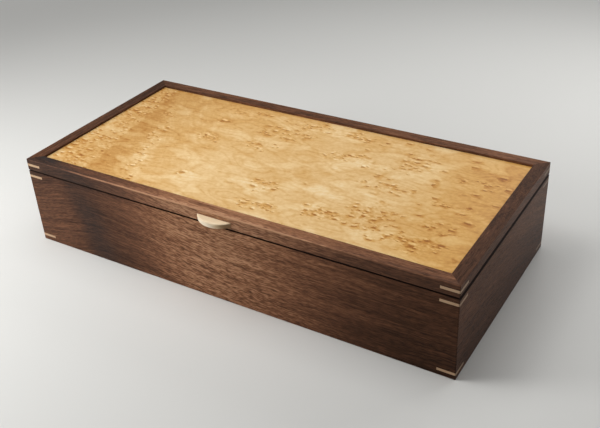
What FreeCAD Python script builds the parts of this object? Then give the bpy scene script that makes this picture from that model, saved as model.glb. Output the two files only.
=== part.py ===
import FreeCAD, Part
import math
import os

# A keepsake box with a hinged lid, in millimetres. X runs along the front from left to right,
# Y from front to back, Z up. The origin is the middle of the base, on the table.
# The case is four mitred walls round a grooved-in bottom. The lid is a mitred frame round a
# grooved-in panel, with a finger pull let into its front rail. Wooden keys let into kerfs
# across the corners lock every mitre. Two brass stop hinges carry the lid at the back.

# The whole box, closed
box_length = 457.0
box_depth = 215.5
box_height = 94.0
lid_height = 12.4
wall = 12.5                  # thickness of the case walls, and width of the lid rails

# Worked edges
corner_ease = 0.8            # radius of the four upright corners
top_ease = 0.8               # radius of the lid's top outer edges
frame_ease = 0.5             # bevel of the lid frame's top inner edges
seam_bevel = 1.0             # bevels above and below the seam, which make a V line
base_round = 0.8             # radius of the bottom outer edges
mouth_ease = 0.5             # bevel of the case's top inner edges

# Panels, which float in grooves
groove_depth = 5.0
panel_gap = 0.5              # room for a panel to swell in its groove, on each side
lid_panel_thickness = 6.4
lid_panel_drop = 2.4         # the panel's face below the top of the lid frame
bottom_thickness = 6.4
bottom_rise = 6.0            # the bottom's underside above the table

# Corner keys
key_thickness = 2.5
key_leg = 16.5               # how far a key shows along each face from the corner
upper_key_drop = 6.2         # middle of the upper case keys below the seam
lower_key_rise = 6.0         # middle of the lower case keys above the table

# Finger pull, a round segment on a straight tenon
pull_width = 36.0            # across the pull where it leaves the rail
pull_reach = 8.6             # how far it stands out
pull_thickness = 5.0
pull_rise = 5.0              # middle of the pull above the seam
pull_ease = 1.0              # radius round its curved rim
pull_web = 1.5               # wood left between its slot and the panel's groove

# Brass stop hinges, let in flush
hinge_inset = 75.0           # middle of a hinge from the end of the box
leaf_length = 34.0
leaf_thickness = 2.6
leaf_margin = 3.5            # wood left in front of a leaf, on the inside
barrel_radius = 2.1
barrel_clearance = 0.2       # between a knuckle and whatever turns past it
axis_setback = 1.5           # pin axis behind the back of the box
knuckle_count = 3
knuckle_gap = 0.2            # between the ends of two knuckles
pin_radius = 1.0
pin_clearance = 0.05         # round the pin inside the lid's knuckles
open_angle = 95.0            # where the stop lips meet
stop_slack = 0.4             # degrees that each lip stands back from meeting

# Flat-head slotted screws in the hinge leaves
screws_per_leaf = 2
screw_pitch = 18.0
screw_length = 9.5
screw_radius = 1.2
screw_head_radius = 2.2
screw_head_angle = 82.0      # full angle of the countersink
screw_sink = 0.1             # head below the leaf's face
screw_slot_width = 0.6
screw_slot_depth = 0.6

# Heights and places that follow
seam = box_height - lid_height
half_length = box_length / 2
half_depth = box_depth / 2
lid_panel_top = box_height - lid_panel_drop
lid_panel_bottom = lid_panel_top - lid_panel_thickness
bottom_top = bottom_rise + bottom_thickness
leaf_width = wall - leaf_margin
screw_line = half_depth - leaf_width / 2
axis_y = half_depth + axis_setback
hinge_places = {"left": -half_length + hinge_inset, "right": half_length - hinge_inset}
over = 1.0                   # how far a cutting solid runs past what it cuts

corners = {
    "front_left": (-1, -1),
    "front_right": (1, -1),
    "rear_right": (1, 1),
    "rear_left": (-1, 1),
}


def vec(x, y, z):
    return FreeCAD.Vector(x, y, z)


def box_between(low, high):
    """A block between two opposite corners."""
    size = vec(*high) - vec(*low)
    return Part.makeBox(size.x, size.y, size.z, vec(*low))


def centred_block(length, depth, bottom, top):
    """A block about the box's upright axis."""
    return box_between((-length / 2, -depth / 2, bottom), (length / 2, depth / 2, top))


def prism(outline, lift):
    """A closed outline of points, pushed along a vector."""
    wire = Part.makePolygon(outline + outline[:1])
    return Part.Face(wire).extrude(lift)


def level_edges(shape, height):
    """The edges that lie at one height."""
    return [e for e in shape.Edges if all(abs(v.Z - height) < 1e-6 for v in e.Vertexes)]


def upright_edges(shape):
    """The straight edges that stand upright."""
    return [e for e in shape.Edges
            if len(e.Vertexes) == 2
            and abs(e.Vertexes[0].X - e.Vertexes[1].X) < 1e-6
            and abs(e.Vertexes[0].Y - e.Vertexes[1].Y) < 1e-6]


def outside_block(bottom, top):
    """A block of the box's plan with its four upright corners eased, and one still sharp."""
    sharp = centred_block(box_length, box_depth, bottom, top)
    return sharp.makeFillet(corner_ease, upright_edges(sharp)), sharp


def case_block():
    """The outside of the case as one block: round at the base, bevelled at the seam."""
    eased, sharp = outside_block(0, seam)
    routed = sharp.makeFillet(base_round, level_edges(sharp, 0))
    return eased.common(routed.makeChamfer(seam_bevel, level_edges(routed, seam)))


def lid_block():
    """The outside of the lid as one block: round at the top, bevelled at the seam."""
    eased, sharp = outside_block(seam, box_height)
    routed = sharp.makeFillet(top_ease, level_edges(sharp, box_height))
    return eased.common(routed.makeChamfer(seam_bevel, level_edges(routed, seam)))


def opening_block(bottom, top):
    """The space inside the four walls or rails."""
    return centred_block(box_length - 2 * wall, box_depth - 2 * wall, bottom, top)


def hollow(outside, bottom, top, bevel):
    """The block opened right through, with its top inner edges bevelled."""
    ring = outside.cut(opening_block(bottom - over, top + over))
    mouth = [e for e in level_edges(ring, top)
             if all(abs(v.X) < half_length - wall + bevel and abs(v.Y) < half_depth - wall + bevel
                    for v in e.Vertexes)]
    return ring.makeChamfer(bevel, mouth)


def groove_block(bottom, top):
    """The space that a panel's groove makes round the inside of the walls or rails."""
    reach = 2 * (groove_depth - wall)
    return centred_block(box_length + reach, box_depth + reach, bottom, top)


def panel_block(bottom, top):
    """A panel that stands a little short of the bottom of its groove."""
    reach = 2 * (groove_depth - wall - panel_gap)
    return centred_block(box_length + reach, box_depth + reach, bottom, top)


def mitred_side(side, bottom, top):
    """The wedge-ended space that one wall or rail may fill, from corner to corner."""
    x, y, w = half_length, half_depth, wall
    plans = {
        "front": [(-x, -y), (x, -y), (x - w, -y + w), (-x + w, -y + w)],
        "right": [(x, -y), (x, y), (x - w, y - w), (x - w, -y + w)],
        "rear": [(x, y), (-x, y), (-x + w, y - w), (x - w, y - w)],
        "left": [(-x, y), (-x, -y), (-x + w, -y + w), (-x + w, y - w)],
    }
    return prism([vec(px, py, bottom) for px, py in plans[side]], vec(0, 0, top - bottom))


def key_blank(corner, middle):
    """The three-cornered kerf across one corner of the box, which a key fills."""
    sx, sy = corners[corner]
    x, y, z = sx * half_length, sy * half_depth, middle - key_thickness / 2
    outline = [vec(x, y, z), vec(x - sx * key_leg, y, z), vec(x, y - sy * key_leg, z)]
    return prism(outline, vec(0, 0, key_thickness))


def hinge_shapes(place, up):
    """One leaf with its knuckles and stop lip, and the mortise it lies in.

    The lid's leaf looks up from the seam and the case's leaf looks down: up is 1 or -1.
    """
    low_x = place - leaf_length / 2
    turn = math.radians(open_angle / 2 + stop_slack)
    lip = leaf_thickness / math.tan(turn)
    inner = half_depth - leaf_width
    far = seam + up * leaf_thickness
    outline = [vec(low_x, inner, seam), vec(low_x, axis_y, seam),
               vec(low_x, axis_y + lip, far), vec(low_x, inner, far)]
    leaf = prism(outline, vec(leaf_length, 0, 0))
    pitch = leaf_length / knuckle_count
    own_first = 0 if up < 0 else 1
    for index in range(knuckle_count):
        start = low_x + index * pitch
        if index % 2 == own_first:
            head = 0 if index == 0 else knuckle_gap / 2
            tail = 0 if index == knuckle_count - 1 else knuckle_gap / 2
            leaf = leaf.fuse(barrel(start + head, start + pitch - tail, barrel_radius))
        else:
            head = over if index == 0 else knuckle_gap / 2
            tail = over if index == knuckle_count - 1 else knuckle_gap / 2
            space = barrel(start - head, start + pitch + tail, barrel_radius + barrel_clearance)
            leaf = leaf.cut(space)
    bore = pin_radius if up < 0 else pin_radius + pin_clearance
    leaf = leaf.cut(barrel(low_x - over, low_x + leaf_length + over, bore)).removeSplitter()
    mortise = box_between((low_x, inner, min(seam, far)),
                          (low_x + leaf_length, half_depth + over, max(seam, far)))
    relief = barrel(low_x, low_x + leaf_length, barrel_radius + barrel_clearance)
    return leaf, mortise.fuse(relief)


def barrel(start, end, radius):
    """A round bar on the hinge's axis."""
    return Part.makeCylinder(radius, end - start, vec(start, axis_y, seam), vec(1, 0, 0))


def screw_blank(x, up):
    """A countersunk screw without its slot, driven up or down from the seam."""
    cone = (screw_head_radius - screw_radius) / math.tan(math.radians(screw_head_angle / 2))
    profile = [(0, 0), (screw_head_radius, 0), (screw_radius, cone),
               (screw_radius, screw_length), (0, screw_length)]
    start = seam + up * screw_sink
    points = [vec(x + r, screw_line, start + up * depth) for r, depth in profile]
    face = Part.Face(Part.makePolygon(points + points[:1]))
    return face.revolve(vec(x, screw_line, 0), vec(0, 0, 1), 360)


def pilot_hole(x, up):
    """The hole bored for a screw's shank."""
    return Part.makeCylinder(screw_radius, screw_sink + screw_length, vec(x, screw_line, seam),
                             vec(0, 0, up))


def screw_slot(x, up):
    """The slot across a screw's head, along the hinge."""
    low = min(seam, seam + up * (screw_sink + screw_slot_depth))
    return box_between(
        (x - screw_head_radius - over, screw_line - screw_slot_width / 2, low),
        (x + screw_head_radius + over, screw_line + screw_slot_width / 2,
         low + screw_sink + screw_slot_depth))


def screw_places():
    """Each screw's hinge and its place along the box."""
    first = -screw_pitch * (screws_per_leaf - 1) / 2
    return [(side, place + first + index * screw_pitch)
            for side, place in hinge_places.items() for index in range(screws_per_leaf)]


def make_pull():
    """The finger pull and the slot that takes its tenon."""
    front = -half_depth
    tenon = wall - groove_depth - pull_web
    low = seam + pull_rise - pull_thickness / 2
    half = pull_width / 2
    tip = vec(0, front - pull_reach, low)
    rim = Part.Arc(vec(-half, front, low), tip, vec(half, front, low)).toShape()
    back = Part.makePolygon([vec(half, front, low), vec(half, front + tenon, low),
                             vec(-half, front + tenon, low), vec(-half, front, low)])
    plan = Part.Wire([rim] + back.Edges)
    pull = Part.Face(plan).extrude(vec(0, 0, pull_thickness))
    rims = [e for e in pull.Edges if e.Curve.TypeId == "Part::GeomCircle"]
    pull = pull.makeFillet(pull_ease, rims)
    slot = box_between((-half, front - over, low), (half, front + tenon, low + pull_thickness))
    return pull, slot


def make_pins():
    """The hinge pins, tight in the case's knuckles."""
    return {f"hinge_pin_{side}": barrel(place - leaf_length / 2, place + leaf_length / 2, pin_radius)
            for side, place in hinge_places.items()}


def make_case(hinge_cuts):
    """The case walls, the bottom and the case's corner keys."""
    pieces = {}
    outside = case_block()
    ring = hollow(outside, 0, seam, mouth_ease).cut(groove_block(bottom_rise, bottom_top))
    blanks = {}
    for corner in corners:
        blanks[f"upper_key_{corner}"] = key_blank(corner, seam - upper_key_drop)
        blanks[f"lower_key_{corner}"] = key_blank(corner, lower_key_rise)
    kerfs = Part.Compound(list(blanks.values()))
    ring = ring.cut(kerfs)
    for side in ("front", "rear", "left", "right"):
        pieces[f"{side}_wall"] = ring.common(mitred_side(side, 0, seam))
    pieces["rear_wall"] = pieces["rear_wall"].cut(hinge_cuts)
    pieces["bottom_panel"] = panel_block(bottom_rise, bottom_top).cut(kerfs)
    for name, blank in blanks.items():
        pieces[name] = blank.common(outside)
    return pieces


def make_lid(hinge_cuts):
    """The lid's rails, panel, corner keys and finger pull."""
    pieces = {}
    outside = lid_block()
    ring = hollow(outside, seam, box_height, frame_ease)
    ring = ring.cut(groove_block(lid_panel_bottom, lid_panel_top))
    blanks = {f"lid_key_{corner}": key_blank(corner, seam + lid_height / 2) for corner in corners}
    kerfs = Part.Compound(list(blanks.values()))
    ring = ring.cut(kerfs)
    for side in ("front", "rear", "left", "right"):
        pieces[f"lid_{side}_rail"] = ring.common(mitred_side(side, seam, box_height))
    pull, slot = make_pull()
    pieces["lid_front_rail"] = pieces["lid_front_rail"].cut(slot)
    pieces["lid_rear_rail"] = pieces["lid_rear_rail"].cut(hinge_cuts)
    pieces["lid_panel"] = panel_block(lid_panel_bottom, lid_panel_top).cut(kerfs)
    for name, blank in blanks.items():
        pieces[name] = blank.common(outside)
    pieces["finger_pull"] = pull
    return pieces


def make_hinge_side(up, owner):
    """Both hinges' leaves and screws for the case or the lid, and the cuts they need in the wood."""
    pieces, cuts = {}, []
    for side, place in hinge_places.items():
        leaf, mortise = hinge_shapes(place, up)
        pieces[f"hinge_{owner}_leaf_{side}"] = leaf
        cuts.append(mortise)
    screws = []
    for side, x in screw_places():
        blank = screw_blank(x, up)
        pieces[f"hinge_{owner}_leaf_{side}"] = pieces[f"hinge_{owner}_leaf_{side}"].cut(blank)
        screws.append(blank.cut(screw_slot(x, up)))
        cuts.append(pilot_hole(x, up))
    pieces[f"{owner}_hinge_screws"] = Part.Compound(screws)
    return pieces, cuts


def solid_of(shape):
    """The shape as a solid, or as a group of its separate solids."""
    clean = shape.removeSplitter()
    return clean.Solids[0] if len(clean.Solids) == 1 else Part.Compound(clean.Solids)


def make_all():
    """Every piece of the box by name."""
    case_hinges, case_cuts = make_hinge_side(-1, "case")
    lid_hinges, lid_cuts = make_hinge_side(1, "lid")
    pieces = make_case(case_cuts)
    pieces.update(make_lid(lid_cuts))
    pieces.update(case_hinges)
    pieces.update(lid_hinges)
    pieces.update(make_pins())
    return pieces


os.makedirs("parts", exist_ok=True)
for name, shape in make_all().items():
    solid_of(shape).exportStep(f"parts/{name}.step")
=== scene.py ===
"""Looks of a walnut box with a hinged lid: wood, brass, floor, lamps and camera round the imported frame.

In the materials, lengths are millimetres of the frame: X along the front, Y to the back, Z up from the base.
"""

import math
from typing import NamedTuple

import bpy
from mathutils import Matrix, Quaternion, Vector


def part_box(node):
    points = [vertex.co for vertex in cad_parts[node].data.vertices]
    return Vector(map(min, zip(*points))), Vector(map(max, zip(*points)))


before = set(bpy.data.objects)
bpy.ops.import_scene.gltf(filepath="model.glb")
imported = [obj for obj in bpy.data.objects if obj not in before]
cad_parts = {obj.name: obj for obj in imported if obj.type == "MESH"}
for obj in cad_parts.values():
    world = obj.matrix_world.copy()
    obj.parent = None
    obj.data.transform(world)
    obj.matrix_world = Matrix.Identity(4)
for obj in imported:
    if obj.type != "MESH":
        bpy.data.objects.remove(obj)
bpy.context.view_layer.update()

MM = 0.001

# The box, read from the frame.
wall_low, wall_high = (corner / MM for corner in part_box("front_wall"))
half_length = wall_high.x
half_depth = -wall_low.y
seam = wall_high.z
lid_top = (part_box("lid_front_rail")[1] / MM).z
pull_top = (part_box("finger_pull")[1] / MM).z

# The camera and what it looks at, in metres.
CAMERA_PLACE = Vector((0.41208, -0.60573, 0.48515))
CAMERA_AIM = Vector((0.0053, 0.02263, 0.02245))
CAMERA_ROLL = math.radians(-3.29)
CAMERA_LENS = 52.07
SENSOR_WIDTH = 36.0
CLIP_START = 0.01
CLIP_END = 100

# Soft boxes: place, aim and the side of the square in metres, and watts.
LAMPS = {
    "left_lamp": ((-0.6, -0.45, 0.35), (-0.1, 0.0, 0.04), 0.3, 3.4),
    "near_box": ((-0.35, -0.25, 0.9), (0.0, 0.0, 0.0), 0.5, 3.0),
    "overhead_box": ((-0.1, 0.0, 1.5), (0.0, 0.0, 0.0), 1.2, 7.6),
    "back_lamp": ((0.15, 0.7, 0.6), (0.1, 0.1, 0.04), 0.4, 1.5),
    "right_lamp": ((0.55, 0.6, 0.3), (0.2, 0.1, 0.04), 0.3, 1.1),
    "side_box": ((1.0, 0.3, 0.7), (0.2, 0.1, 0.0), 0.5, 0.7),
}

# How bright the world is on the object, how bright it looks behind it, and its colour.
FILL_LIGHT = 0.04
BACKDROP_LIGHT = 0.42
WORLD_COLOUR = (1.0, 0.99, 0.97, 1.0)

# The floor's side in metres, and the distances in millimetres between which it turns as pale as the backdrop.
FLOOR_SIDE = 8
GLOW_START = 750
GLOW_FULL = 1700

# The Mix node's sockets for colours, by number, because other sockets there have the same names.
MIX_FACTOR = 0
MIX_LOW = 6
MIX_HIGH = 7
MIX_RESULT = 2


def tint(red, green, blue):
    """A colour written as on a screen, 0 to 255, as the linear values that a shader takes."""
    def linear(level):
        share = level / 255
        return share / 12.92 if share <= 0.04045 else ((share + 0.055) / 1.055) ** 2.4
    return (linear(red), linear(green), linear(blue), 1.0)


WHITE = tint(255, 255, 255)

WALNUT = (
    (0.00, tint(28, 15, 8)),
    (0.20, tint(57, 35, 22)),
    (0.40, tint(90, 58, 40)),
    (0.60, tint(124, 83, 59)),
    (0.80, tint(158, 111, 80)),
    (1.00, tint(190, 143, 108)),
)
# The grey that walnut is mixed towards. On the right wall it paints the sheen of the pale floor.
GREY_WALNUT = tint(84, 76, 74)

MAPLE = (
    (0.00, tint(138, 82, 26)),
    (0.25, tint(188, 132, 62)),
    (0.50, tint(216, 170, 104)),
    (0.75, tint(236, 202, 148)),
    (1.00, tint(248, 228, 190)),
)
EYE_BROWN = tint(156, 94, 34)
GOLDEN_GLAZE = tint(255, 246, 218)
LEFT_GLAZE = tint(240, 236, 228)

TAN_MAPLE = (
    (0.00, tint(146, 110, 80)),
    (0.50, tint(192, 158, 125)),
    (1.00, tint(218, 190, 156)),
)
# Painted shade on the keys' ends on the right side.
KEY_SHADE_GREY = tint(96, 84, 78)

CREAM_MAPLE = (
    (0.00, tint(150, 112, 70)),
    (0.50, tint(228, 200, 160)),
    (1.00, tint(250, 234, 206)),
)

BRASS = tint(214, 172, 96)
TARNISH = tint(158, 116, 60)

FLOOR_GREY = (
    (0.00, tint(215, 215, 212)),
    (1.00, tint(227, 226, 222)),
)

# Edges and fine lines, in millimetres from a face or from the line: where each begins, and where it is full.
# Where the painted highlight on the lid's top outer edges begins, and where it is full.
GLINT_BAND = (-1.3, -0.6)
# Where the painted shade in the seam's outer bevels begins, and where it is full.
SEAM_BEVEL = (-1.8, -1.0)
MITRE_LINE = (0.35, 0.1)

# How far in from the front face the shading of that face reaches.
FACE_DEPTH = 7

# The front board's dark heart band: where it meets the bottom edge, and how far it leans left as it climbs.
HEART_FOOT = -143
HEART_LEAN = 0.33

# The small eye low on the front: its middle, along and up, and its half sizes.
FRONT_EYE = (29, 21)
FRONT_EYE_HALF = (4.5, 2.2)

# The slanting lines that part the bands at the panel's left end: x where y is 0, and how far they lean left.
FIRST_LINE = (-181, 0.17)
SECOND_LINE = (-149, 0.4)

# Where the panel's eyes crowd together: middle x and y, half length, half width and how dense.
EYE_CLUSTERS = (
    (-94, 14, 20, 8, 0.8),
    (-104, 50, 14, 6, 0.6),
    (-80, 78, 30, 10, 0.5),
    (-88, -32, 6, 5, 0.8),
    (-70, -60, 12, 9, 0.5),
    (-28, 55, 38, 14, 0.8),
    (-40, 22, 26, 12, 0.5),
    (20, 82, 60, 10, 0.7),
    (60, 36, 38, 9, 0.9),
    (5, -45, 22, 14, 0.8),
    (22, -76, 20, 7, 0.8),
    (84, -62, 24, 10, 0.9),
    (122, -42, 22, 22, 0.6),
    (160, -68, 45, 14, 0.7),
    (188, 45, 30, 12, 0.4),
    (180, -5, 26, 9, 0.5),
    (182, -38, 26, 9, 0.6),
    (118, 55, 18, 22, 0.7),
    (110, 5, 25, 12, 0.6),
)

# How dense the eyes are elsewhere, how far apart the small and large ones lie, and how much wider along x.
STRAY_EYES = 0.11
SMALL_EYE_PITCH = 4.8
LARGE_EYE_PITCH = 8.4
EYE_STRETCH = 1.25


class Field:
    """A number that varies over a surface. Arithmetic on it adds math nodes to its material."""

    def __init__(self, finish, socket):
        self.finish = finish
        self.socket = socket

    def _math(self, operation, *values):
        return self.finish.math(operation, *values)

    def __add__(self, other):
        return self._math("ADD", self, other)

    __radd__ = __add__

    def __sub__(self, other):
        return self._math("SUBTRACT", self, other)

    def __rsub__(self, other):
        return self._math("SUBTRACT", other, self)

    def __mul__(self, other):
        return self._math("MULTIPLY", self, other)

    __rmul__ = __mul__

    def __truediv__(self, other):
        return self._math("DIVIDE", self, other)

    def __abs__(self):
        return self._math("ABSOLUTE", self)

    def __pow__(self, power):
        return self._math("POWER", self, power)

    def most(self, other):
        return self._math("MAXIMUM", self, other)

    def wave(self):
        return self._math("SINE", self)

    def rise(self, start, end):
        """0 before start, 1 after end, and smooth between them. It falls where end is under start."""
        if start > end:
            return 1.0 - self.rise(end, start)
        node = self.finish.add("ShaderNodeMapRange", interpolation_type="SMOOTHSTEP")
        self.finish.feed(node, "Value", self)
        self.finish.feed(node, "From Min", start)
        self.finish.feed(node, "From Max", end)
        return Field(self.finish, node.outputs["Result"])

    def plateau(self, start, full, fading, end):
        """0 before start, rising until full, falling from fading on, and 0 again after end."""
        return self.rise(start, full) * self.rise(end, fading)


class Finish:
    """One procedural material and short calls for its nodes. x, y and z are the place in the frame."""

    def __init__(self, name):
        self.material = bpy.data.materials.new(name)
        self.material.use_nodes = True
        self.nodes = self.material.node_tree.nodes
        self.links = self.material.node_tree.links
        self.shader = self.nodes["Principled BSDF"]
        scale = self.add("ShaderNodeVectorMath", operation="SCALE")
        self.feed(scale, 0, self.add("ShaderNodeTexCoord").outputs["Object"])
        self.feed(scale, "Scale", 1 / MM)
        self.x, self.y, self.z = self.split(scale.outputs[0])

    def add(self, kind, **settings):
        node = self.nodes.new(kind)
        for name, value in settings.items():
            setattr(node, name, value)
        return node

    def feed(self, node, socket, value):
        """Links a Field or a socket to a node's input, or sets a constant on it."""
        if isinstance(value, Field):
            self.links.new(value.socket, node.inputs[socket])
        elif isinstance(value, bpy.types.NodeSocket):
            self.links.new(value, node.inputs[socket])
        else:
            node.inputs[socket].default_value = value

    def math(self, operation, *values):
        node = self.add("ShaderNodeMath", operation=operation)
        for index, value in enumerate(values):
            self.feed(node, index, value)
        return Field(self, node.outputs[0])

    def point(self, x, y, z=0.0):
        node = self.add("ShaderNodeCombineXYZ")
        for index, value in enumerate((x, y, z)):
            self.feed(node, index, value)
        return node.outputs[0]

    def split(self, vector):
        """The three numbers of a vector."""
        node = self.add("ShaderNodeSeparateXYZ")
        self.feed(node, 0, vector)
        return [Field(self, socket) for socket in node.outputs]

    def noise(self, x, y, z=0.0, detail=2.0, roughness=0.5):
        """Soft noise about 0.5, with features one unit apart."""
        node = self.add("ShaderNodeTexNoise")
        self.feed(node, "Vector", self.point(x, y, z))
        self.feed(node, "Scale", 1.0)
        self.feed(node, "Detail", detail)
        self.feed(node, "Roughness", roughness)
        return Field(self, node.outputs["Fac"])

    def swing(self, *place, **settings):
        """The same soft noise about 0."""
        return self.noise(*place, **settings) - 0.5

    def cells(self, x, y):
        """A place from the nearest of points strewn a unit apart, and that point's three random numbers."""
        point = self.point(x, y)
        node = self.add("ShaderNodeTexVoronoi", voronoi_dimensions="2D")
        self.feed(node, "Vector", point)
        self.feed(node, "Scale", 1.0)
        self.feed(node, "Randomness", 1.0)
        offset = self.add("ShaderNodeVectorMath", operation="SUBTRACT")
        self.feed(offset, 0, point)
        self.feed(offset, 1, node.outputs["Position"])
        return self.split(offset.outputs[0])[:2] + self.split(node.outputs["Color"])

    def ramp(self, factor, stops):
        """A colour that runs through the stops, each a position and a colour."""
        node = self.add("ShaderNodeValToRGB")
        ramp = node.color_ramp
        for position, colour in stops[1:-1]:
            ramp.elements.new(position)
        for element, (position, colour) in zip(ramp.elements, stops):
            element.position = position
            element.color = colour
        self.feed(node, "Fac", factor)
        return node.outputs["Color"]

    def mix(self, factor, low, high, blend="MIX"):
        node = self.add("ShaderNodeMix", data_type="RGBA", blend_type=blend)
        self.feed(node, MIX_FACTOR, factor)
        self.feed(node, MIX_LOW, low)
        self.feed(node, MIX_HIGH, high)
        return node.outputs[MIX_RESULT]

    def bump(self, height, depth):
        """A normal for relief of that depth in millimetres, where height goes from 0 to 1."""
        node = self.add("ShaderNodeBump")
        self.feed(node, "Height", height)
        self.feed(node, "Distance", depth * MM)
        self.feed(node, "Strength", 1.0)
        return node.outputs["Normal"]

    def finish(self, colour, roughness, normal=None, **constants):
        """Links the varying sockets and sets the constant ones on the shader itself."""
        self.feed(self.shader, "Base Color", colour)
        self.feed(self.shader, "Roughness", roughness)
        if normal is not None:
            self.feed(self.shader, "Normal", normal)
        for name, value in constants.items():
            self.shader.inputs[name.replace("_", " ")].default_value = value
        return self.material


class Look(NamedTuple):
    """How a walnut board looks. Each value is a number, or a Field where it varies over the board."""

    lift: object  # how far the grain lines are raised, in millimetres
    tone: object  # how light it is, as a place on the walnut ramp
    bold: object  # how strongly the streaks show
    mottle: object = 0.3  # how strongly the short flecks show
    seam_shadow: object = 1.1  # how far the painted shade of the seam reaches up and down, in millimetres
    greyness: object = 0.0  # how grey it is
    glint: object = 0.1  # how bright the painted highlight on the lid's top outer edges is


def beyond(m):
    """Millimetres beyond the outer faces of the box: 0 on them, and negative inside."""
    return (abs(m.x) - half_length).most(abs(m.y) - half_depth)


def on_top(up):
    """1 on the lid's top face and 0 under it."""
    return up.rise(lid_top - 0.5, lid_top - 0.1)


def on_lid(up):
    """1 above the seam."""
    return up.rise(seam, seam + 1)


def mitre_line(m):
    """1 on the fine line where two mitred pieces meet, seen from above."""
    off_mitre = abs((half_length - abs(m.x)) - (half_depth - abs(m.y)))
    return off_mitre.rise(*MITRE_LINE)


def seam_shade(m, reach):
    """1 in the outer bevels of the seam between lid and case, where shade is painted, for that many
    millimetres up and down.
    """
    return abs(m.z - seam).rise(reach + 0.25, reach - 0.25) * beyond(m).rise(*SEAM_BEVEL)


def edge_glint(m):
    """1 on the lid's top outer edges, where a highlight is painted."""
    return (m.z - lid_top).rise(*GLINT_BAND) * beyond(m).rise(*GLINT_BAND)


def walnut(name, lengthwise, seed, figure):
    """Oiled walnut with its grain along one axis. figure gives each board its own look."""
    m = Finish(name)
    along, through = (m.x, m.y) if lengthwise == "x" else (m.y, m.x)
    up = m.z
    look = figure(m, along, up, through)
    sway = m.swing(along / 130 + seed, up / 45, through / 45) * 9
    ripple = m.swing(along / 16 + seed, up / 10, through / 10) * 2.4
    line = up - look.lift + sway + ripple
    depth = through + sway * 0.5
    broad = m.swing(along / 220 + seed, line / 8, depth / 9, detail=3)
    streak = m.swing(along / 60 + seed, line / 1.9, depth / 2, detail=4, roughness=0.6)
    thread = m.swing(along / 26 + seed, line / 0.75, depth / 0.8)
    fleck = m.noise(along / 6 + seed, line / 1.05, depth / 1.2, detail=1).rise(0.32, 0.68) - 0.5
    pore = m.noise(along / 7 + seed, line / 0.4, depth / 0.5, detail=1).rise(0.58, 0.7)
    level = (
        look.tone
        + broad * look.bold * 0.6
        + streak * look.bold
        + thread * 0.42
        + fleck * look.mottle * 0.36
        # A painted highlight along the lid's top outer edges.
        + edge_glint(m) * look.glint
        - pore * 0.1
    )
    # Painted shade in the seam's outer bevels, which also makes them rougher.
    seam_shadow = seam_shade(m, look.seam_shadow)
    level = level * (1.0 - mitre_line(m) * 0.35) * (1.0 - seam_shadow)
    grain = streak * 0.5 + thread * 0.5 + fleck * look.mottle * 0.4 - pore * 0.6
    return m.finish(
        m.mix(look.greyness, m.ramp(level, WALNUT), GREY_WALNUT),
        roughness=streak * 0.12 + pore * 0.15 + seam_shadow * 0.45 + 0.5,
        normal=m.bump(grain, depth=0.2),
        Specular_IOR_Level=0.08,
    )


def front_figure(m, along, up, through):
    """Soft dark heart band at the left, light mottled middle, a darker right end that is partly painted
    shade, and a small eye low down.
    """
    inside = through + half_depth
    face = inside.rise(FACE_DEPTH, 0)
    top = on_top(up)
    heart = along + up * HEART_LEAN - HEART_FOOT + inside * 4
    ragged = heart + m.swing(along / 26, up / 16, inside / 9, detail=3) * 26
    band = ragged.plateau(-30, 6, 14, 96)
    core = ragged.plateau(-24, 0, 4, 34) * (1.0 - up.rise(45, 84) * face * 0.7)
    middle = along.plateau(-125, -25, -5, 150)
    eye_along = (along - FRONT_EYE[0]) / FRONT_EYE_HALF[0]
    eye_up = (up - FRONT_EYE[1]) / FRONT_EYE_HALF[1]
    eye = eye_along ** 2.0 + eye_up ** 2.0
    light_middle = middle * (0.2 + face * 0.11) + along.rise(-60, 60) * face.rise(1, 0) * 0.1
    # Darker to the right: partly the board's own tone, partly painted shade where the light falls off, most
    # on the front face.
    dark_right_and_shade = along.rise(95, 200) * face * 0.18 + along.rise(150, 215) * top * 0.04
    dark_left = (
        along.rise(-170, -215) * 0.03
        + along.rise(-180, -208) * top * 0.2
        + along.rise(-150, -205) * on_lid(up) * 0.04
        + along.plateau(-196, -176, -154, -134) * face * 0.05
        + along.rise(-176, -200) * up.rise(56, 76) * face * 0.07
    )
    slope = (up - 40) * face * (along.rise(-150, -90) * 0.0017 - along.rise(-140, -200) * 0.0008)
    dark_heart = band * 0.08 + core * 0.12
    dark_eye = eye.rise(1.6, 0.1) * 0.25
    return Look(
        lift=heart.plateau(-95, 10, -10, 200) * 17 + eye.rise(12, 0) * 1.5,
        tone=0.47 + light_middle + slope - dark_heart - dark_right_and_shade - dark_left - dark_eye,
        bold=middle * 0.25 + 0.5,
        mottle=middle * face * 0.8 + 0.35,
        seam_shadow=0.85,
        greyness=core * 0.15 + on_lid(up) * face * 0.1 + along.rise(-40, -130) * 0.06,
        # The painted highlight on the top front edge is strongest from the left end to the middle.
        glint=along.plateau(-190, -150, 30, 150) * 0.4 + 0.12,
    )


def right_figure(m, along, up, through):
    """Even board whose lines bend down to the back, with a painted sheen of the pale floor: slightly grey,
    and lighter high up at the back.
    """
    top = on_top(up)
    back = along.rise(-110, 105)
    # Lighter high up and to the back: painted reflection of the pale floor behind the box.
    wall_tone_and_sheen = 0.3 + up.rise(0, 70) * 0.13 + back * (0.07 + up.rise(10, 75) * 0.14)
    top_tone = 0.32 - along.rise(-40, 60) * 0.05
    return Look(
        lift=(along + half_depth) ** 2.0 * -0.001,
        tone=wall_tone_and_sheen + (top_tone - wall_tone_and_sheen) * top,
        bold=0.5,
        mottle=0.45 - top * 0.35,
        seam_shadow=2.2,
        # The grey here is a painted sheen of the pale floor, strongest at the back.
        greyness=(back * 0.35 + 0.12) * (1.0 - top),
        glint=0.06,
    )


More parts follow.
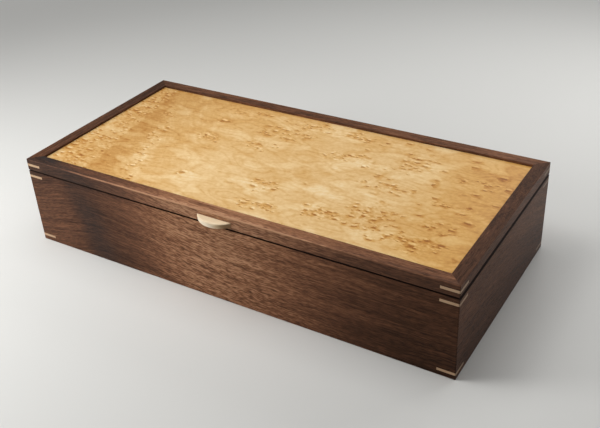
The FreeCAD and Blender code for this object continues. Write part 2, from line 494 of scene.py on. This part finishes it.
def left_figure(m, along, up, through):
    """Even board, a little darker to the back."""
    return Look(lift=along * 0.01, tone=0.37 - along.rise(-90, 80) * 0.1, bold=0.6)


def rear_figure(m, along, up, through):
    """Straight-grained board with a few wide, lighter lines."""
    return Look(lift=along * 0.012, tone=0.42 + along * 0.0002, bold=0.75)


def left_lines(m):
    """How far a place lies to the right of each line that parts the bands at the panel's left end."""
    ragged = m.swing(m.x / 14, m.y / 12 + 4) * 14
    return [m.x + m.y * lean - start + ragged for start, lean in (FIRST_LINE, SECOND_LINE)]


def crowding(m, first, second):
    """How densely the eyes sit at a place, from 0 to about 1. At the left end they lie in slanting bands."""
    x = m.x + m.swing(m.x / 22, m.y / 22) * 30
    y = m.y + m.swing(m.x / 22 + 9, m.y / 22) * 24
    left_end = first.rise(4, -3) * 0.6
    second_band = second.plateau(-15, -3, 2, 14) * m.y.rise(70, 45) * 0.5
    density = left_end + second_band + STRAY_EYES
    for middle_x, middle_y, half_x, half_y, most in EYE_CLUSTERS:
        away = ((x - middle_x) / half_x) ** 2.0 + ((y - middle_y) / half_y) ** 2.0
        density = away.rise(1.5, 0.2) * most + density
    return density


def eyes(m, pitch, share, seed):
    """Small flat curved eyes: where their brown marks are, the pale rims above, partly painted highlight, and
    the golden ground.
    """
    stray_x = m.swing(m.x / 2.1 + seed, m.y / 2.1) * 2.0
    stray_y = m.swing(m.x / 2.1, m.y / 2.1 + seed) * 1.4
    x = (m.x + stray_x) / pitch / EYE_STRETCH + seed
    y = (m.y + stray_y) / pitch
    dx, dy, chance, turn, size = m.cells(x, y)
    shown = (share - chance).rise(0.0, 0.2)
    lean = (turn - 0.5) * 0.8
    reach = size * 0.14 + 0.24
    across = (dx + dy * lean) / reach
    over = (dy - dx * lean) / (reach * 0.55) - across ** 2.0 * (turn - 0.35) * 0.7
    mark = (across ** 2.0 + over ** 2.0).rise(1.3, 0.1)
    # The pale rim above each eye, partly its own pale figure and partly a painted highlight on that side.
    rim_and_highlight = (across ** 2.0 + (over - 1.5) ** 2.0 * 0.8).rise(1.7, 0.1)
    ground = ((across * 0.55) ** 2.0 + (over * 0.35 + 0.2) ** 2.0).rise(2.0, 0.1)
    return mark * shown, rim_and_highlight * shown, ground * shown


def panel_tone(m):
    """How much lighter or darker the panel's ground is from place to place, with a painted sheen pooled at
    the front left and painted light growing to the right.
    """
    sheen_pool = ((m.x + 60) / 90) ** 2.0 + ((m.y + 55) / 45) ** 2.0
    return (
        # A painted sheen at the front left, and painted light growing to the right.
        sheen_pool.rise(1.2, 0) * 0.07
        + m.x.rise(-60, 80) * 0.06
        - m.x.rise(110, 220) * 0.18
        - m.x.rise(-90, -190) * 0.07
        - m.x.plateau(-135, -118, -95, -70) * 0.07
        - m.y.rise(20, 90) * 0.05
        + m.swing(m.x / 90 + 2, m.y / 50) * 0.3
    )


def left_shimmer(m, leftward, golden_band):
    """Slanting pale blotches and fine hairs towards the panel's left end."""
    down = m.x * 0.6 - m.y * 0.8
    over = m.x * 0.8 + m.y * 0.6
    blotches = m.noise(down / 13, over / 5.5).rise(0.5, 0.7) * (0.1 - golden_band * 0.05)
    hairs = m.swing(down / 9, over / 0.9, detail=1) * 0.08
    return (blotches + hairs) * leftward


def contour_lines(m, ground):
    """Fine nested lines that bend round the eyes, from 0 to 1."""
    hills = m.noise(m.x / 80 + 5, m.y / 30, roughness=0.4) + ground * 0.01
    return ((hills * 62).wave() * 0.5 + 0.5) ** 4.0


def eyed_maple(name):
    """Bird's-eye maple: pale islands, golden ridges with more eyes, nested lines and a slanting shimmer."""
    m = Finish(name)
    leftward = m.x.rise(-50, -140)
    rightward = m.x.rise(50, 120)
    islands = m.noise(m.x / 40 + 11, m.y / 21)
    ridge = abs(islands - 0.5).rise(0.075, 0.0)
    first, second = left_lines(m)
    golden_band = first.plateau(-2, 3, 14, 44)
    bands = second.plateau(-14, -2, 2, 16) * 0.7 + first.rise(2, -6) * 0.35 - golden_band
    density = crowding(m, first, second) * (ridge * 0.75 + 0.5)
    small = eyes(m, SMALL_EYE_PITCH, share=density * 0.8, seed=3.0)
    large = eyes(m, LARGE_EYE_PITCH, share=density * 0.75 + rightward * 0.09 + 0.02, seed=40.0)
    mark, rim_and_highlight, ground = (one.most(other) for one, other in zip(small, large))
    clouds = m.swing(m.x / 24, m.y / 13 + 7, detail=3)
    burl = m.swing(m.x / 3.8, m.y / 2.8)
    fibre = m.swing(m.x / 22, m.y / 0.8)
    level = (
        0.62
        + panel_tone(m)
        + left_shimmer(m, leftward, golden_band)
        - contour_lines(m, ground) * 0.08
        + clouds * (0.22 - golden_band * 0.1)
        + (islands - 0.5) * 0.28
        + islands.rise(0.56, 0.61) * 0.04
        - ridge * 0.07
        + bands * 0.12
        + fibre * 0.08
        + burl * (density * 0.6 + 0.25)
        - ground * (rightward * 0.06 + 0.12)
        - mark * (0.22 - leftward * 0.04)
        # The eyes' pale rims, partly painted highlight.
        + rim_and_highlight * (leftward * 0.08 + 0.3)
    )
    glaze = m.mix(m.x.rise(110, 215) * 0.95 + ground * 0.35, WHITE, GOLDEN_GLAZE)
    colour = m.mix(1.0, m.ramp(level, MAPLE), glaze, blend="MULTIPLY")
    colour = m.mix(m.x.rise(-90, -190), colour, LEFT_GLAZE, blend="MULTIPLY")
    return m.finish(
        m.mix(mark * 0.42, colour, EYE_BROWN),
        roughness=clouds * 0.1 + burl * 0.1 + 0.4,
        normal=m.bump(fibre + burl * 0.3, depth=0.03),
        Specular_IOR_Level=0.18,
    )


def key_maple(name):
    """Tan maple keys. Their ends on the right side are greyer and darker with painted shade, most of all at
    the back.
    """
    m = Finish(name)
    line = m.noise(m.x / 12, m.y / 12, m.z / 0.7, detail=3)
    cloud = m.swing(m.x / 9 + 4, m.y / 9, m.z / 8)
    right_side = m.x.rise(half_length - 0.6, half_length - 0.15)
    # Painted shade, deepest at the back.
    shade = right_side * (0.35 + m.y.rise(-95, 60) * 0.35)
    level = (line - 0.5) * 0.4 + cloud * 0.3 + 0.55
    return m.finish(
        m.mix(shade, m.ramp(level, TAN_MAPLE), KEY_SHADE_GREY),
        roughness=(line - 0.5) * 0.1 + 0.45,
        normal=m.bump(line, depth=0.05),
        Specular_IOR_Level=0.15,
    )


def pull_maple(name):
    """Pale cream maple with straight lines. The pull's flank has a painted highlight at the left and painted
    brown shade at the right.
    """
    m = Finish(name)
    line = m.noise(m.x / 40, m.y / 3, m.z / 1.2, detail=3)
    # The flank: painted highlight at the left, painted shade at the right.
    flank = m.z.rise(pull_top - 0.3, pull_top - 1.2)
    level = (line - 0.5) * 0.4 + 0.68 + flank * (0.3 - m.x.rise(0, 15) * 0.9)
    return m.finish(
        m.ramp(level, CREAM_MAPLE),
        roughness=(line - 0.5) * 0.1 + 0.42,
        normal=m.bump(line, depth=0.05),
        Specular_IOR_Level=0.3,
    )


def board_maple(name):
    """The thin board in the bottom: plain maple with wide, faint arched lines."""
    m = Finish(name)
    hills = m.noise(m.x / 210, m.y / 38 + 3)
    arches = (hills * 70).wave()
    fibre = m.noise(m.x / 30, m.y / 0.9)
    level = arches * 0.05 + (fibre - 0.5) * 0.15 + (hills - 0.5) * 0.3 + 0.55
    return m.finish(
        m.ramp(level, MAPLE),
        roughness=(fibre - 0.5) * 0.1 + 0.45,
        normal=m.bump(fibre, depth=0.04),
        Specular_IOR_Level=0.3,
    )


def brass(name, mark_width):
    """Brass with fine marks of its making and a slight brown tarnish in patches."""
    m = Finish(name)
    marks = m.noise(m.x / 6, m.y / mark_width, m.z / mark_width, detail=3)
    tarnish = m.noise(m.x / 9, m.y / 9, m.z / 9, detail=3).rise(0.42, 0.72)
    return m.finish(
        m.mix(tarnish, BRASS, TARNISH),
        roughness=(marks - 0.5) * 0.2 + tarnish * 0.15 + 0.28,
        normal=m.bump(marks, depth=0.02),
        Metallic=1.0,
    )


def dress(material, *names):
    """Gives CAD nodes a finish in place of the one they were packed with."""
    for name in names:
        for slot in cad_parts[name].material_slots:
            slot.material = material


def nodes_named(*words):
    """The CAD nodes whose names hold any of these words."""
    return [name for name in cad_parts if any(word in name for word in words)]


def dress_box():
    """Each wall shares its board's figure with the lid rail above it."""
    dress(walnut("walnut_front", "x", seed=0.0, figure=front_figure), "front_wall", "lid_front_rail")
    dress(walnut("walnut_right", "y", seed=3.7, figure=right_figure), "right_wall", "lid_right_rail")
    dress(walnut("walnut_left", "y", seed=11.3, figure=left_figure), "left_wall", "lid_left_rail")
    dress(walnut("walnut_rear", "x", seed=23.9, figure=rear_figure), "rear_wall", "lid_rear_rail")
    dress(eyed_maple("eyed_maple"), "lid_panel")
    dress(key_maple("key_maple"), *nodes_named("key_"))
    dress(pull_maple("pull_maple"), "finger_pull")
    dress(board_maple("board_maple"), "bottom_panel")
    dress(brass("leaf_brass", mark_width=0.6), *nodes_named("leaf", "pin"))
    dress(brass("screw_brass", mark_width=1.5), *nodes_named("screws"))


def aim(holder, place, target):
    """Puts a camera or lamp at its place, facing its target."""
    holder.location = place
    holder.rotation_mode = "QUATERNION"
    holder.rotation_quaternion = (Vector(target) - Vector(place)).to_track_quat("-Z", "Y")
    bpy.context.scene.collection.objects.link(holder)


def add_camera():
    """The photograph's viewpoint."""
    camera = bpy.data.objects.new("camera", bpy.data.cameras.new("camera"))
    camera.data.sensor_fit = "HORIZONTAL"
    camera.data.sensor_width = SENSOR_WIDTH
    camera.data.lens = CAMERA_LENS
    camera.data.clip_start = CLIP_START
    camera.data.clip_end = CLIP_END
    aim(camera, CAMERA_PLACE, CAMERA_AIM)
    camera.rotation_quaternion = camera.rotation_quaternion @ Quaternion((0, 0, 1), CAMERA_ROLL)
    bpy.context.scene.camera = camera


def add_lamps():
    """A near lamp low at the left, two soft boxes overhead, and weak ones behind and at the right."""
    for name, (place, target, side, power) in LAMPS.items():
        lamp = bpy.data.lights.new(name, "AREA")
        lamp.shape = "SQUARE"
        lamp.size = side
        lamp.energy = power
        aim(bpy.data.objects.new(name, lamp), place, target)


def seen(nodes, links):
    """1 for a ray from the camera or one that metal or glass sends on, and 0 for light on the object."""
    path = nodes.new("ShaderNodeLightPath")
    total = path.outputs["Is Camera Ray"]
    for kind in ("Is Glossy Ray", "Is Transmission Ray"):
        both = nodes.new("ShaderNodeMath")
        both.operation = "MAXIMUM"
        links.new(total, both.inputs[0])
        links.new(path.outputs[kind], both.inputs[1])
        total = both.outputs[0]
    return total


def add_world():
    """A faint warm fill on the object, which looks like a pale grey backdrop behind it."""
    world = bpy.data.worlds.new("studio")
    world.use_nodes = True
    nodes, links = world.node_tree.nodes, world.node_tree.links
    sky = nodes["Background"]
    sky.inputs["Color"].default_value = WORLD_COLOUR
    strength = nodes.new("ShaderNodeMapRange")
    links.new(seen(nodes, links), strength.inputs["Value"])
    strength.inputs["To Min"].default_value = FILL_LIGHT
    strength.inputs["To Max"].default_value = BACKDROP_LIGHT
    links.new(strength.outputs["Result"], sky.inputs["Strength"])
    bpy.context.scene.world = world


def add_floor():
    """A pale sheet under the box. Far off, where the lamps don't reach, it shows as pale as the backdrop."""
    bpy.ops.mesh.primitive_plane_add(size=FLOOR_SIDE)
    floor = bpy.context.active_object
    floor.name = "floor"
    m = Finish("pale_floor")
    cloud = m.swing(m.x / 300, m.y / 300)
    grain = m.swing(m.x / 2, m.y / 2)
    away = (m.x ** 2.0 + m.y ** 2.0) ** 0.5
    glow = away.rise(GLOW_START, GLOW_FULL) * Field(m, seen(m.nodes, m.links)) * BACKDROP_LIGHT
    m.feed(m.shader, "Emission Strength", glow)
    material = m.finish(
        m.ramp(cloud * 0.2 + grain * 0.04 + 0.5, FLOOR_GREY),
        roughness=grain * 0.1 + 0.7,
        Specular_IOR_Level=0.2,
        Emission_Color=WORLD_COLOUR,
    )
    floor.data.materials.append(material)


dress_box()
add_camera()
add_lamps()
add_world()
add_floor()

bpy.context.scene.view_settings.view_transform = "Standard"
